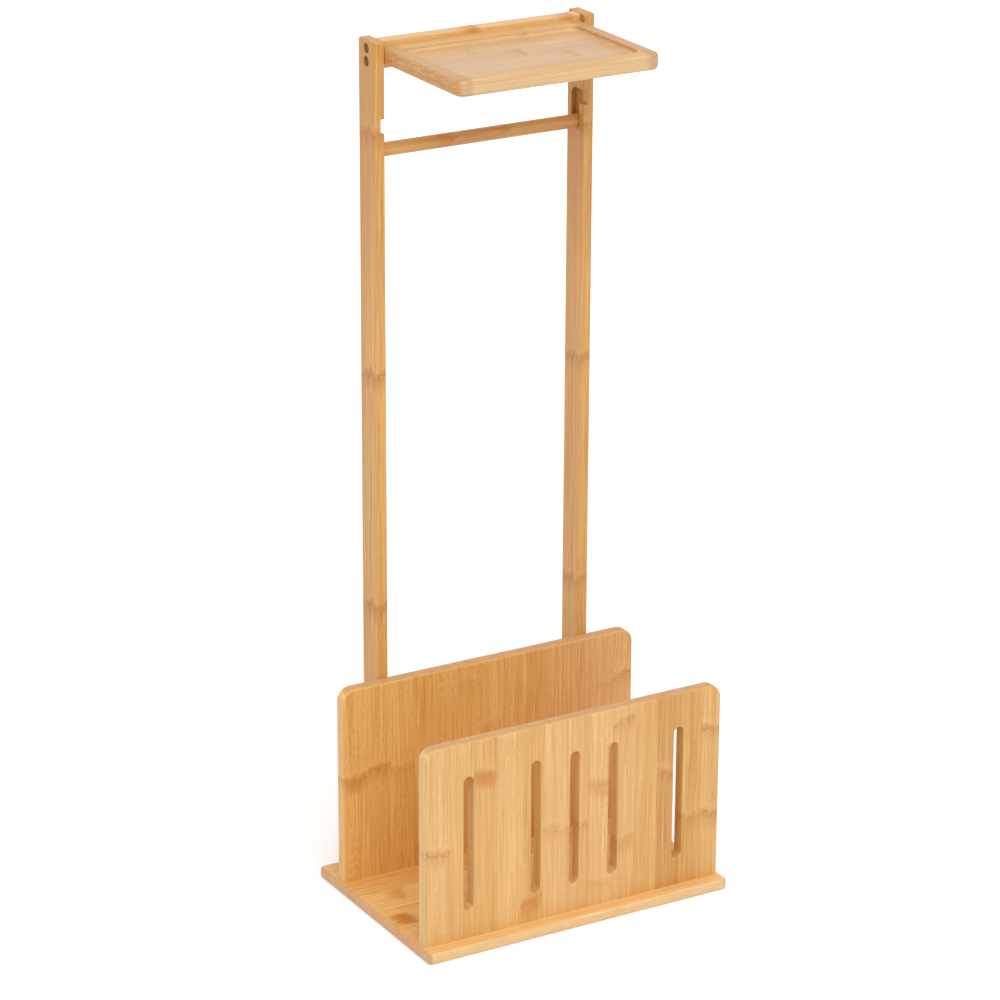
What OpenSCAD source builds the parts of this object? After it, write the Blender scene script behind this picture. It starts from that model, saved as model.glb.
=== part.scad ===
// Free-standing toilet paper stand in bamboo: a base board carries a bin for spare rolls,
// two posts hold a roll bar that lifts out, and a tray sits in front of the top rail.
// Millimetres. The origin is the middle of the base's underside, the front faces -Y.

/* [Base board] */
// Width of the base board, left to right
base_w = 300; // [270:5:360]
// Depth of the base board, front to back
base_d = 200; // [190:5:260]
// Thickness of the base board
base_t = 10; // [9:1:16]
// Radius of the base board's four corners, seen from above
base_corner_r = 4; // [3:0.5:12]
// Radius of the rounded edges of the base board
base_edge_r = 2.5; // [0.5:0.5:2.5]

/* [Bin panels] */
// Height of both bin panels above the base board
panel_h = 182; // [120:1:260]
// Thickness of both bin panels
panel_t = 12; // [10:1:18]
// Base board left free at each end of the panels
panel_end_margin = 3; // [0:1:15]
// Base board left free in front of the front panel
front_lip = 13; // [5:1:25]
// Radius of the panels' upper corners
panel_corner_r = 12; // [5:1:30]
// Radius of the rounded edges of the panels
panel_edge_r = 2; // [0.5:0.5:3]

/* [Slots in the front panel] */
// Width of a slot
slot_w = 9.5; // [6:0.5:14]
// Height of a slot
slot_h = 124; // [70:1:126]
// Height of the slots' lower ends above the base board
slot_rise = 26; // [24:1:40]
// Distance between the three middle slots
slot_pitch = 38.5; // [24:0.5:44]
// Distance of the two outer slots from the middle of the panel
outer_slot_x = 104.5; // [90:0.5:115]
// Radius of the rounded edges of the slots
slot_edge_r = 1; // [0.5:0.5:2]

/* [Posts] */
// Height of the whole stand
stand_h = 757; // [720:1:900]
// Clear width between the two posts
post_gap = 192; // [150:1:205]
// Width of a post, left to right
post_w = 10; // [9:0.5:16]
// Depth of a post, front to back
post_d = 27; // [24:0.5:30]
// Radius of the posts' upper corners, seen from the side
post_corner_r = 2.5; // [2:0.5:8]
// Radius of the rounded edges of the posts
post_edge_r = 1.2; // [0.4:0.2:2]

/* [Roll bar] */
// Diameter of the roll bar
bar_d = 12; // [10:0.5:14]
// Distance of the roll bar's axis below the top rail, which leaves room for the roll
bar_below_rail = 70.5; // [65:0.5:150]
// Depth of the groove in each post that holds the end of the bar
groove_depth = 4; // [3:0.5:5]
// Height by which the bar lifts before it can leave forwards
groove_lift = 23; // [18:0.5:32]
// Play of the bar in the groove, on each side
groove_play = 0.5; // [0.4:0.1:1]
// Gap below the resting bar and at each of its ends
bar_rest_gap = 0.3; // [0.2:0.1:0.4]
// Radius of the rounded ends of the bar
bar_end_r = 1; // [0.5:0.5:2]

/* [Top rail] */
// Height of the top rail
rail_h = 24; // [22:1:40]
// Thickness of the top rail
rail_t = 12; // [10:1:16]
// Distance of the rail's upper edge below the posts' tops
rail_drop = 1; // [0.5:0.5:10]
// Radius of the rounded edges of the rail
rail_edge_r = 1.5; // [0.5:0.5:3]

/* [Tray] */
// Depth of the tray from the rail to its front edge
tray_d = 130.5; // [100:0.5:160]
// Thickness of the tray
tray_t = 14; // [12:1:18]
// Gap between the tray and each post
tray_end_gap = 0.3; // [0.2:0.1:1]
// Radius of the tray's front corners, seen from above
tray_corner_r = 9; // [5:0.5:20]
// Radius of the rounded edges of the tray
tray_edge_r = 3; // [0.5:0.5:4]
// Width of the rim round the sunk floor of the tray
tray_rim = 12; // [8:0.5:20]
// Depth of the sunk floor below the rim
tray_sink = 5; // [4:0.5:5]
// Radius of the sunk floor's corners, seen from above
sink_corner_r = 10; // [5:0.5:20]
// Radius of the rounding at the foot of the sunk floor's wall
sink_foot_r = 3; // [0.5:0.5:3]
// Radius of the rounded upper edge of the sunk floor's wall
sink_edge_r = 1; // [0.5:0.5:1]

/* [Screws and dowels] */
// Diameter of the screws
screw_d = 4; // [3:0.5:4]
// Diameter of the countersunk screw heads
screw_head_d = 8; // [7:0.5:8.5]
// Length of the screws
screw_l = 30; // [26:1:30]
// Depth of the screw heads below the wood
screw_sink = 0.8; // [0.4:0.1:1.2]
// Depth of the screw heads below the outer faces of the posts
end_screw_sink = 1.6; // [1:0.1:2]
// Gap round a screw head in its recess
recess_play = 0.5; // [0.3:0.1:0.7]
// Depth of the screw heads below the back face of the posts
back_screw_sink = 6; // [5:0.5:8]
// Width of the hexagon socket in the screw heads
socket_w = 3; // [2.5:0.5:3]
// Depth of the hexagon socket in the screw heads
socket_depth = 2; // [1:0.5:2.5]
// Distance of the outer screws of a panel from its middle
panel_screw_x = 125; // [118:1:128]
// Distance of the dowels of a panel from its middle
panel_dowel_x = 60; // [40:1:80]
// Height of the lower screw from each post into the back panel, above the base board
post_screw_low = 40; // [32:1:60]
// Height of the upper screw from each post into the back panel, above the base board
post_screw_high = 145; // [80:1:155]
// Distance between the two screws at each end of the rail
rail_screw_pitch = 11; // [10:0.5:12]
// Distance between the three screws from the rail into the tray
tray_screw_pitch = 50; // [30:1:55]
// Distance of the tray's dowels from its middle
tray_dowel_x = 25; // [12:1:30]
// Diameter of the dowels
dowel_d = 6; // [4:0.5:6]
// Length of the dowels
dowel_l = 20; // [16:1:24]
// Length of a dowel in the base board or the rail
dowel_seat = 7; // [4:0.5:7]
// Gap round each screw and dowel in its hole
hole_play = 0.05; // [0.02:0.01:0.1]

/* [Hidden] */
$fn = 64;

bamboo = "#e7bc82";
bamboo_dark = "#cf9658";
steel = "#4a4440";
beech = "#d8b58a";

over = 1; // how far a cutting shape runs past the face that it cuts

// The posts stand at the back of the base, with the back panel against their front faces
post_back_gap = 3;
post_y = base_d / 2 - post_back_gap - post_d / 2;
post_x = post_gap / 2 + post_w / 2;
panel_w = base_w - 2 * panel_end_margin;
front_panel_y = -base_d / 2 + front_lip + panel_t / 2;
back_panel_y = post_y - post_d / 2 - panel_t / 2;

// The rail hangs between the posts, and the tray butts against its front face
rail_z = stand_h - rail_drop - rail_h / 2;
tray_w = post_gap - 2 * tray_end_gap;
tray_back_y = post_y - rail_t / 2;
tray_floor_t = tray_t - tray_sink;
tray_z = rail_z - tray_t / 2;
tray_fix_z = tray_z + tray_floor_t / 2;
bar_z = rail_z - rail_h / 2 - bar_below_rail;

// The groove is the path of a cutter that is as wide as the bar and its play
groove_r = bar_d / 2 + groove_play;
groove_seat_z = bar_z + groove_play - bar_rest_gap;
groove_top_z = groove_seat_z + groove_lift;
bar_l = post_gap + 2 * (groove_depth - bar_rest_gap);

screw_cone_h = (screw_head_d - screw_d) / 2;
screw_rim_h = 0.4;
screw_tip_h = screw_d;
dowel_chamfer = 0.8;
panel_screws = [-panel_screw_x, 0, panel_screw_x];
panel_dowels = [-panel_dowel_x, panel_dowel_x];
tray_screws_x = [-tray_screw_pitch, 0, tray_screw_pitch];
tray_dowels_x = [-tray_dowel_x, tray_dowel_x];
slot_places = [-outer_slot_x, -slot_pitch, 0, slot_pitch, outer_slot_x];

// Section from a board's corner centre out to its edge, with both arrises rounded
module edge_section(run, thickness, r) {
    square([run - r, thickness]);
    translate([0, r]) square([run, thickness - 2 * r]);
    intersection() {
        square([run, thickness]);
        for (height = [r, thickness - r]) translate([run - r, height]) circle(r);
    }
}

// Sweeps a section round a rectangle with rounded corners. The section's x counts from the
// corner centres outwards, and its y is the height
module sweep_round(w, d, corner_r) {
    run_x = w / 2 - corner_r;
    run_y = d / 2 - corner_r;
    for (turn = [0, 180]) rotate([0, 0, turn]) {
        translate([run_x, run_y, 0]) {
            rotate_extrude(angle = 90) children();
            rotate([90, 0, 0]) linear_extrude(2 * run_y) children();
        }
        translate([-run_x, run_y, 0]) rotate([0, 0, 90]) {
            rotate_extrude(angle = 90) children();
            rotate([90, 0, 0]) linear_extrude(2 * run_x) children();
        }
    }
}

// A flat board with four rounded corners, from z = 0 up
module round_board(w, d, thickness, corner_r, edge_r) {
    sweep_round(w, d, corner_r) edge_section(corner_r, thickness, edge_r);
    translate([corner_r - w / 2, corner_r - d / 2, 0])
        cube([w - 2 * corner_r, d - 2 * corner_r, thickness]);
}

// A flat board with two rounded corners at its far edge, and a sawn edge along y = 0
module sawn_board(w, d, thickness, corner_r, edge_r) {
    difference() {
        translate([0, d / 2 - corner_r, 0])
            round_board(w, d + 2 * corner_r, thickness, corner_r, edge_r);
        translate([-w / 2 - over, -2 * corner_r - over, -over])
            cube([w + 2 * over, 2 * corner_r + over, thickness + 2 * over]);
    }
}

// The same board on its sawn edge, upright and centred on y = 0
module upright_board(w, h, thickness, corner_r, edge_r) {
    translate([0, thickness / 2, 0]) rotate([90, 0, 0])
        sawn_board(w, h, thickness, corner_r, edge_r);
}

// Half the width of a slot through a board, flared at both faces by rounded edges
module slot_section(half_w, thickness, r) {
    translate([0, -over]) square([half_w, thickness + 2 * over]);
    for (side = [0, 1]) translate([0, side * thickness]) mirror([0, side, 0]) difference() {
        translate([0, -over]) square([half_w + r, r + over]);
        translate([half_w + r, r]) circle(r);
    }
}

// An upright slot through a board that faces the front, centred on y = 0, from z = 0 up
module slot_cut(w, h, thickness, r) {
    straight = h - w;
    translate([0, thickness / 2, w / 2]) rotate([90, 0, 0]) {
        for (turn = [0, 180]) translate([0, turn == 0 ? straight : 0, 0]) rotate([0, 0, turn])
            rotate_extrude(angle = 180) slot_section(w / 2, thickness, r);
        for (turn = [0, 180]) rotate([0, 0, turn])
            translate([0, turn == 0 ? straight : 0, 0]) rotate([90, 0, 0])
                linear_extrude(straight) slot_section(w / 2, thickness, r);
    }
}

// A countersunk screw along +Z, with the face of its head at z = 0
module screw() {
    difference() {
        rotate_extrude() polygon([
            [0, 0], [screw_head_d / 2, 0], [screw_head_d / 2, screw_rim_h],
            [screw_d / 2, screw_rim_h + screw_cone_h], [screw_d / 2, screw_l - screw_tip_h],
            [0, screw_l]
        ]);
        translate([0, 0, -over])
            cylinder(h = socket_depth + over, d = socket_w / cos(30), $fn = 6);
    }
}

// The hole for that screw, whose head lies sink deep below the face at z = 0
module screw_hole(sink) {
    head_r = screw_head_d / 2 + hole_play;
    shank_r = screw_d / 2 + hole_play;
    recess_r = screw_head_d / 2 + recess_play;
    rim_z = sink + screw_rim_h;
    rotate_extrude() polygon([
        [0, -over], [recess_r, -over], [recess_r, rim_z], [head_r, rim_z],
        [shank_r, rim_z + head_r - shank_r],
        [shank_r, sink + screw_l + hole_play], [0, sink + screw_l + hole_play]
    ]);
}

// A dowel along +Z, with dowel_seat of its length below z = 0
module dowel() {
    r = dowel_d / 2;
    translate([0, 0, -dowel_seat]) rotate_extrude() polygon([
        [0, 0], [r - dowel_chamfer, 0], [r, dowel_chamfer],
        [r, dowel_l - dowel_chamfer], [r - dowel_chamfer, dowel_l], [0, dowel_l]
    ]);
}

// The hole for that dowel
module dowel_hole() {
    translate([0, 0, -dowel_seat - hole_play])
        cylinder(h = dowel_l + 2 * hole_play, d = dowel_d + 2 * hole_play);
}

// Places of the fasteners: each puts its child where the piece goes, along its axis

// Screws up through the base board into the foot of a panel
module at_panel_screws(y) {
    for (x = panel_screws) translate([x, y, 0]) children();
}

// Dowels up from the base board into the foot of a panel
module at_panel_dowels(y) {
    for (x = panel_dowels) translate([x, y, base_t]) children();
}

// Screws up through the base board into the posts, side is -1 for left and 1 for right
module at_post_foot(side) {
    translate([side * post_x, post_y, 0]) children();
}

// Screws forward through a post into the back panel
module at_post_back(side) {
    for (height = [post_screw_low, post_screw_high])
        translate([side * post_x, post_y + post_d / 2, base_t + height])
            rotate([90, 0, 0]) children();
}

// Screws inward through a post into the end of the rail
module at_rail_end(side) {
    for (step = [-0.5, 0.5])
        translate([side * (post_x + post_w / 2), post_y, rail_z + step * rail_screw_pitch])
            rotate([0, -side * 90, 0]) children();
}

// Screws forward through the rail into the tray
module at_tray_screws() {
    for (x = tray_screws_x)
        translate([x, post_y + rail_t / 2, tray_fix_z]) rotate([90, 0, 0]) children();
}

// Dowels forward from the rail into the tray
module at_tray_dowels() {
    for (x = tray_dowels_x)
        translate([x, tray_back_y, tray_fix_z]) rotate([90, 0, 0]) children();
}

// The main boards

module base_board() {
    color(bamboo) difference() {
        round_board(base_w, base_d, base_t, base_corner_r, base_edge_r);
        for (y = [front_panel_y, back_panel_y]) {
            at_panel_screws(y) screw_hole(screw_sink);
            at_panel_dowels(y) dowel_hole();
        }
        for (side = [-1, 1]) at_post_foot(side) screw_hole(screw_sink);
    }
}

// Either panel of the bin, before its slots
module bin_panel(y) {
    difference() {
        translate([0, y, base_t])
            upright_board(panel_w, panel_h, panel_t, panel_corner_r, panel_edge_r);
        at_panel_screws(y) screw_hole(screw_sink);
        at_panel_dowels(y) dowel_hole();
    }
}

module front_panel() {
    color(bamboo) difference() {
        bin_panel(front_panel_y);
        for (x = slot_places) translate([x, front_panel_y, base_t + slot_rise])
            slot_cut(slot_w, slot_h, panel_t, slot_edge_r);
    }
}

module back_panel() {
    color(bamboo) difference() {
        bin_panel(back_panel_y);
        for (side = [-1, 1]) at_post_back(side) screw_hole(back_screw_sink);
    }
}

// Path of the bar's end in a post's inner face: up from the seat, then out to the front
module groove_outline() {
    for (height = [groove_seat_z, groove_top_z]) translate([0, height]) circle(groove_r);
    translate([-groove_r, groove_seat_z]) square([2 * groove_r, groove_lift]);
    translate([-post_d / 2 - over, groove_top_z - groove_r])
        square([post_d / 2 + over, 2 * groove_r]);
}

// side is -1 for the left post and 1 for the right one
module post(side) {
    color(bamboo_dark) difference() {
        translate([side * post_x, post_y, base_t]) rotate([0, 0, 90])
            upright_board(post_d, stand_h - base_t, post_w, post_corner_r, post_edge_r);
        translate([side * (post_gap / 2 + groove_depth), post_y, 0])
            mirror([side > 0 ? 1 : 0, 0, 0]) rotate([90, 0, 90])
                linear_extrude(groove_depth + over) groove_outline();
        at_post_foot(side) screw_hole(screw_sink);
        at_post_back(side) screw_hole(back_screw_sink);
        at_rail_end(side) screw_hole(end_screw_sink);
    }
}

module left_post() {
    post(-1);
}

module right_post() {
    post(1);
}

module top_rail() {
    color(bamboo_dark) difference() {
        translate([-post_gap / 2, post_y, rail_z - rail_h / 2]) rotate([90, 0, 90])
            linear_extrude(post_gap) union() {
                mirror([1, 0]) edge_section(rail_t / 2, rail_h, rail_edge_r);
                edge_section(rail_t / 2, rail_h, rail_edge_r);
            }
        for (side = [-1, 1]) at_rail_end(side) screw_hole(end_screw_sink);
        at_tray_screws() screw_hole(screw_sink);
        at_tray_dowels() dowel_hole();
    }
}

// Section of the tray's sunk floor: rounded at its foot and at its upper edge
module sink_section() {
    foot_r = sink_foot_r;
    square([sink_corner_r - foot_r, tray_sink + over]);
    translate([0, foot_r]) square([sink_corner_r, tray_sink + over - foot_r]);
    translate([sink_corner_r - foot_r, foot_r]) circle(foot_r);
    difference() {
        translate([0, tray_sink - sink_edge_r])
            square([sink_corner_r + sink_edge_r, sink_edge_r + over]);
        translate([sink_corner_r + sink_edge_r, tray_sink - sink_edge_r]) circle(sink_edge_r);
    }
}

module tray() {
    sink_w = tray_w - 2 * tray_rim;
    sink_d = tray_d - 2 * tray_rim;
    color(bamboo) difference() {
        translate([0, tray_back_y, tray_z]) rotate([0, 0, 180])
            sawn_board(tray_w, tray_d, tray_t, tray_corner_r, tray_edge_r);
        translate([0, tray_back_y - tray_d / 2, tray_z + tray_floor_t]) {
            sweep_round(sink_w, sink_d, sink_corner_r) sink_section();
            translate([sink_corner_r - sink_w / 2, sink_corner_r - sink_d / 2, 0])
                cube([sink_w - 2 * sink_corner_r, sink_d - 2 * sink_corner_r, tray_sink + over]);
        }
        at_tray_screws() screw_hole(screw_sink);
        at_tray_dowels() dowel_hole();
    }
}

// The piece that moves

module roll_bar() {
    r = bar_d / 2;
    color(bamboo_dark) translate([-bar_l / 2, post_y, bar_z]) rotate([0, 90, 0])
        rotate_extrude() {
            square([r - bar_end_r, bar_l]);
            translate([0, bar_end_r]) square([r, bar_l - 2 * bar_end_r]);
            intersection() {
                square([r, bar_l]);
                for (height = [bar_end_r, bar_l - bar_end_r])
                    translate([r - bar_end_r, height]) circle(bar_end_r);
            }
        }
}

// The fasteners

module front_panel_screws() {
    color(steel) at_panel_screws(front_panel_y) translate([0, 0, screw_sink]) screw();
}

module back_panel_screws() {
    color(steel) at_panel_screws(back_panel_y) translate([0, 0, screw_sink]) screw();
}

module post_foot_screws() {
    color(steel) for (side = [-1, 1]) at_post_foot(side) translate([0, 0, screw_sink]) screw();
}

module left_post_screws() {
    color(steel) at_post_back(-1) translate([0, 0, back_screw_sink]) screw();
}

module right_post_screws() {
    color(steel) at_post_back(1) translate([0, 0, back_screw_sink]) screw();
}

module left_rail_screws() {
    color(steel) at_rail_end(-1) translate([0, 0, end_screw_sink]) screw();
}

module right_rail_screws() {
    color(steel) at_rail_end(1) translate([0, 0, end_screw_sink]) screw();
}

module tray_screws() {
    color(steel) at_tray_screws() translate([0, 0, screw_sink]) screw();
}

module front_panel_dowels() {
    color(beech) at_panel_dowels(front_panel_y) dowel();
}

module back_panel_dowels() {
    color(beech) at_panel_dowels(back_panel_y) dowel();
}

module tray_dowels() {
    color(beech) at_tray_dowels() dowel();
}

base_board();
front_panel();
back_panel();
left_post();
right_post();
top_rail();
tray();
roll_bar();
front_panel_screws();
back_panel_screws();
post_foot_screws();
left_post_screws();
right_post_screws();
left_rail_screws();
right_rail_screws();
tray_screws();
front_panel_dowels();
back_panel_dowels();
tray_dowels();
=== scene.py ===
# Bamboo toilet paper stand: finishes, threaded screws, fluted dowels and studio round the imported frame
import math
import bmesh
import bpy
from mathutils import Matrix, Vector


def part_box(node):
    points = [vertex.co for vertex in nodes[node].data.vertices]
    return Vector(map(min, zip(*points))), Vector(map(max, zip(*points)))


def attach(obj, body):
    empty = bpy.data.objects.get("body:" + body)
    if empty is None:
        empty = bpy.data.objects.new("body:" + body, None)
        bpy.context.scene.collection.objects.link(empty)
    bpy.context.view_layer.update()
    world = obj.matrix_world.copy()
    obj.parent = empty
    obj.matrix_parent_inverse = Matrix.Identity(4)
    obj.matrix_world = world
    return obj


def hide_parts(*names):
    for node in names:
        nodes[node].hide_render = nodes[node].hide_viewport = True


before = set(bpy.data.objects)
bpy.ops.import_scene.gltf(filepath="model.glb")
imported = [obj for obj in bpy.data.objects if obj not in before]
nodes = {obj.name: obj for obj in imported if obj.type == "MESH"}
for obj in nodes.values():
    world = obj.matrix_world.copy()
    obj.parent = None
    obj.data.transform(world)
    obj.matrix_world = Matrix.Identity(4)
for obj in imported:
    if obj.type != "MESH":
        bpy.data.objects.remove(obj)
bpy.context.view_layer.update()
print("frame loaded:", len(nodes), "nodes")


# Node trees. Wire wraps a socket so that maths on it reads as plain arithmetic
class Wire:
    def __init__(self, maker, socket):
        self.maker = maker
        self.socket = socket

    def __add__(self, other):
        return self.maker.calc("ADD", self, other)

    def __radd__(self, other):
        return self.maker.calc("ADD", other, self)

    def __sub__(self, other):
        return self.maker.calc("SUBTRACT", self, other)

    def __rsub__(self, other):
        return self.maker.calc("SUBTRACT", other, self)

    def __mul__(self, other):
        return self.maker.calc("MULTIPLY", self, other)

    def __rmul__(self, other):
        return self.maker.calc("MULTIPLY", other, self)

    def __truediv__(self, other):
        return self.maker.calc("DIVIDE", self, other)

    def __rtruediv__(self, other):
        return self.maker.calc("DIVIDE", other, self)

    def __pow__(self, other):
        return self.maker.calc("POWER", self, other)

    def __rpow__(self, other):
        return self.maker.calc("POWER", other, self)

    def floor(self):
        return self.maker.calc("FLOOR", self)

    def fraction(self):
        return self.maker.calc("FRACT", self)

    def size(self):
        return self.maker.calc("ABSOLUTE", self)

    def atLeast(self, other):
        return self.maker.calc("MAXIMUM", self, other)

    def atMost(self, other):
        return self.maker.calc("MINIMUM", self, other)

    def rise(self, low, high):  # 0 below low, 1 above high, smooth between
        node = self.maker.node("ShaderNodeMapRange", {"interpolation_type": "SMOOTHSTEP"},
                               {"Value": self, "From Min": low, "From Max": high})
        return self.maker.wire(node)

    def bell(self, width):  # 1 at zero, fading out to both sides
        return self.maker.calc("EXPONENT", (self / width) ** 2.0 * -1.0)


class Maker:
    def __init__(self, tree):
        self.tree = tree

    def node(self, kind, settings=None, sockets=None):
        made = self.tree.nodes.new(kind)
        for key, value in (settings or {}).items():
            if key == "stops":
                self.fillRamp(made.color_ramp, value)
            elif key == "rampKind":
                made.color_ramp.interpolation = value
            else:
                setattr(made, key, value)
        for key, value in (sockets or {}).items():
            if isinstance(value, Wire):
                self.tree.links.new(value.socket, made.inputs[key])
            else:
                made.inputs[key].default_value = value
        return made

    def fillRamp(self, ramp, stops):
        while len(ramp.elements) < len(stops):
            ramp.elements.new(1.0)
        for element, (place, colour) in zip(ramp.elements, stops):
            element.position = place
            element.color = colour

    def wire(self, made, name=0):
        return Wire(self, made.outputs[name])

    def calc(self, operation, *values):
        return self.wire(self.node("ShaderNodeMath", {"operation": operation}, dict(enumerate(values))))

    def vector(self, x, y, z):
        return self.wire(self.node("ShaderNodeCombineXYZ", None, {"X": x, "Y": y, "Z": z}))

    def objectPlace(self):  # where a point lies on its own object
        return self.wire(self.node("ShaderNodeTexCoord"), "Object")

    def noise(self, place, scale, detail, roughness=0.5):
        return self.wire(self.node("ShaderNodeTexNoise", None, {
            "Vector": place, "Scale": scale, "Detail": detail, "Roughness": roughness}))

    def mixColour(self, factor, first, second, kind="MIX"):  # sockets 0, 6 and 7 are the colour ones
        made = self.node("ShaderNodeMix", {"data_type": "RGBA", "blend_type": kind},
                         {0: factor, 6: first, 7: second})
        return self.wire(made, 2)

    def bump(self, height, distance, strength):
        return self.wire(self.node("ShaderNodeBump", None, {
            "Strength": strength, "Distance": distance, "Height": height}))

    def coverWith(self, shader):  # the shader becomes the material's surface
        self.node("ShaderNodeOutputMaterial", None, {"Surface": self.wire(shader)})


def emptyMaterial(name):
    material = bpy.data.materials.new(name)
    material.use_nodes = True
    material.node_tree.nodes.clear()
    return material, Maker(material.node_tree)


def addObject(name, data):
    made = bpy.data.objects.new(name, data)
    bpy.context.scene.collection.objects.link(made)
    return made


def srgb(red, green, blue):  # a colour as a paint chart gives it, made linear; over 255 lifts a tint
    def linear(value):
        value = value / 255
        return value / 12.92 if value <= 0.04045 else ((value + 0.055) / 1.055) ** 2.4
    return (linear(red), linear(green), linear(blue), 1.0)


# Bamboo: strips glued side by side, each with its own tone, fibres and knuckles. Sizes are in metres,
# scales in cells to the metre, and an edge is the pair of values between which something fades in
fibreFinish = {
    "stripSeed": 7.31, "plySeed": 3.17, "stripeSeed": 13.7,
    "broad": (0.0075, 0.26),          # width and length of a stripe
    "middle": (0.0017, 0.11),
    "fine": (0.0007, 0.045),
    "hair": (0.00024, 0.012),
    "vessel": (0.00050, 0.010),       # short dark dashes
    "lively": (0.018, 0.055),         # patches in which the stripes are stronger
    "swirl": (0.011, 0.016),          # eddies that the fibres wander in beside a knuckle
    "swirlReach": 0.0045,
    "broadTone": 0.55, "middleTone": 0.90, "fineTone": 0.80, "hairTone": 0.40,
    "livelyEdge": (0.35, 0.65), "livelyLeast": 0.60, "livelyRange": 0.75,
    "archPitch": 0.0085,              # spacing of the arched flame figure along a strip
    "archCurve": 9.0, "archBroad": 4.0, "archSwirl": 2.0, "archEdge": (0.42, 0.62),
    "vesselEdge": (0.58, 0.72), "vesselShare": 0.22, "vesselColour": srgb(172, 112, 54),
    "warmEdge": (0.50, 0.72), "warmColour": srgb(198, 124, 52),
    "paintedSheenColour": srgb(232, 224, 207),
    "rosyChance": 0.2,
    "rimWidth": 0.006, "rimShade": 0.55, "rimLessRosy": 0.9,
    # how much less of the painted shade the long edges take
    "paintedShadeLessOnSide": 0.45,
    "sideEdge": (0.5, 0.9), "sawnEdge": (0.55, 0.9),
}
knuckleFinish = {
    "colour": srgb(164, 94, 28),
    "reach": 0.016,                   # how far from it the fibres wander
    "waveScale": 170.0, "wave": 0.010, "slope": 0.012,
    "lineWidth": 0.0044, "lineShare": 0.52,
    "strokeScale": 420.0, "strokeScaleAlong": 1500.0, "strokeWave": 3.0,
    "strokeDetail": 3.0, "strokeRoughness": 0.7, "strokeEdge": (0.46, 0.62),
    "haloDrop": 0.003, "haloWidth": 0.009, "haloShare": 0.26,
    "speckScale": 900.0, "speckScaleAlong": 700.0, "speckEdge": (0.56, 0.70),
    "patchFoot": (-0.017, -0.006), "patchTop": (-0.0015, 0.0025), "patchSoftness": 0.009,
    "patchRounding": 3.0, "patchLeast": 0.30, "patchStripes": 1.1, "patchLines": 0.4,
    "glowLift": 0.006, "glowWidth": 0.004, "glowShare": 0.30,
}
cutFinish = {
    "jointWidth": 0.00035, "jointShare": 0.20,
    "sawnShare": 0.9,
    "dotScales": (1500.0, 2300.0), "dotEdge": (0.15, 0.45), "dotLeast": 0.18, "dotSkin": 0.35,
    "mottleScales": (95.0, 620.0), "mottleWave": 1.5, "mottleEdge": (0.35, 0.65),
    "mottleShare": 0.6, "skinShare": 0.4,
    "recessEdge": (0.001, 0.003), "recessLeast": 0.3,
    "arrisStart": (0.10, 0.40), "arrisEnd": (0.75, 0.95),
    "paintedRoutedShade": srgb(146, 86, 30),
}
lacquerFinish = {
    "roughness": 0.46, "fineRough": 0.14, "vesselRough": 0.10, "knuckleRough": 0.08,
    "sawnRough": 0.14, "routedRough": 0.2,
    "coat": 0.14, "coatRoughness": 0.24,
    "reliefDepth": 0.00012, "reliefStrength": 0.5,
    "middleRelief": 0.30, "fineRelief": 0.35, "hairRelief": 0.35,
    "vesselRelief": 0.5, "knuckleRelief": 0.3, "jointRelief": 0.5,
}


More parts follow.
